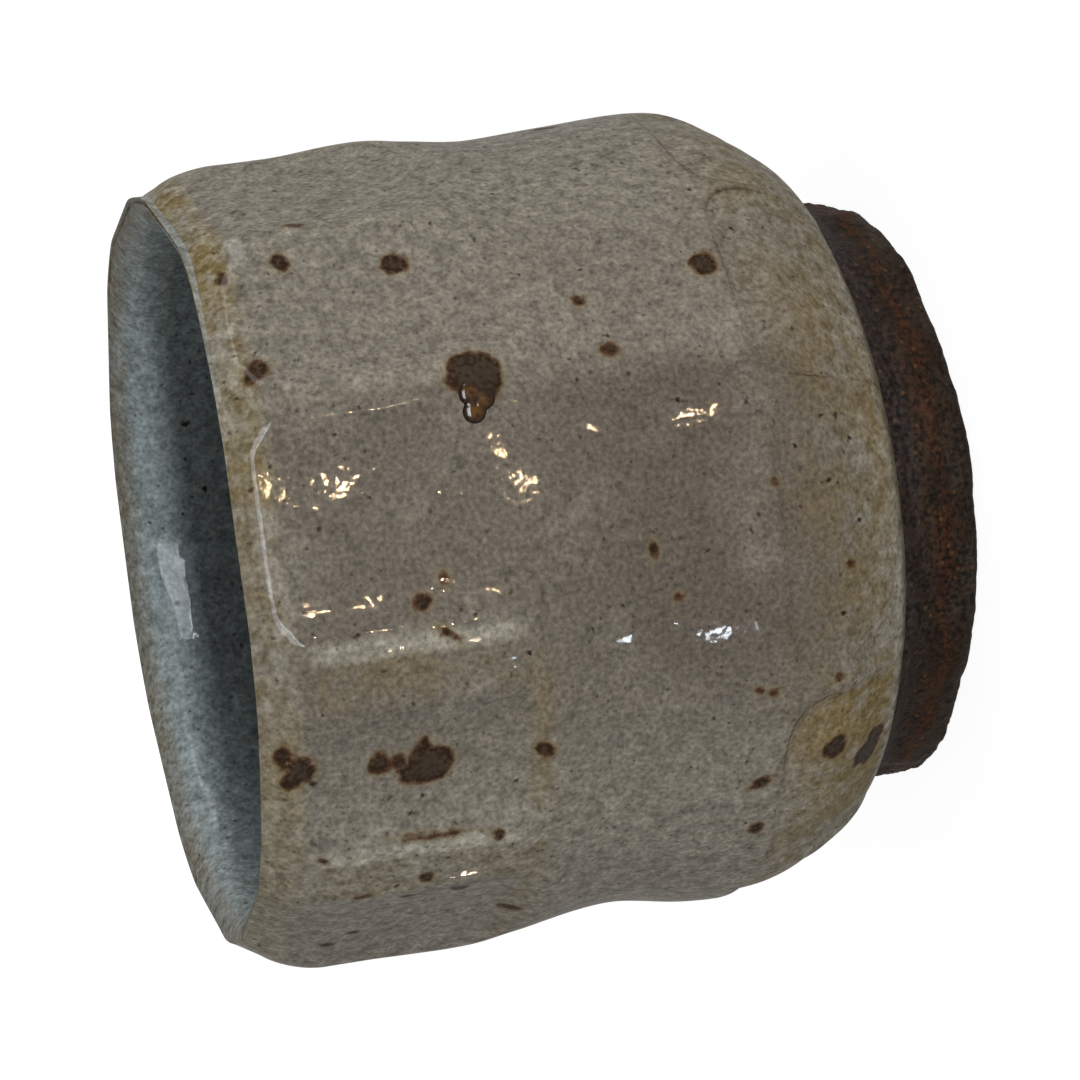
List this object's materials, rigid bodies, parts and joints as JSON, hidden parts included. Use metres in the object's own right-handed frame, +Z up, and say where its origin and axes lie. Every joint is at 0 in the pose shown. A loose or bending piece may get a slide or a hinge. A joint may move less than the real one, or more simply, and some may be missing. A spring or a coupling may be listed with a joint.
{
  "type": "faceted ceramic tea cup",
  "caption": "Small handleless stoneware tea cup with hand-cut facets and ribs below a rounded lip, grey ash glaze inside and out, and a bare dark foot ring",
  "frame": {"origin": "on the cup's axis, in the plane that the foot ring stands on", "axes": "+Z is up along the cup's axis to the mouth; the side in the picture faces -Y; +X is to the right of that side"},
  "size_m": [0.0787, 0.0778, 0.0704],
  "materials": {
    "clay_body": "fired iron-bearing stoneware under the glaze",
    "foot_ring": "bare dry fired stoneware, dark brown with rust-red flashing",
    "outer_glaze": "glossy grey ash glaze with fine crackle and iron spots, olive-brown where thin",
    "liner_glaze": "glossy bluish-grey ash glaze with fine crackle"
  },
  "bodies": {
    "root": {"clay_body": "clay_body", "foot_ring": "foot_ring", "outer_glaze": "outer_glaze", "liner_glaze": "liner_glaze"}
  },
  "joints": []
}
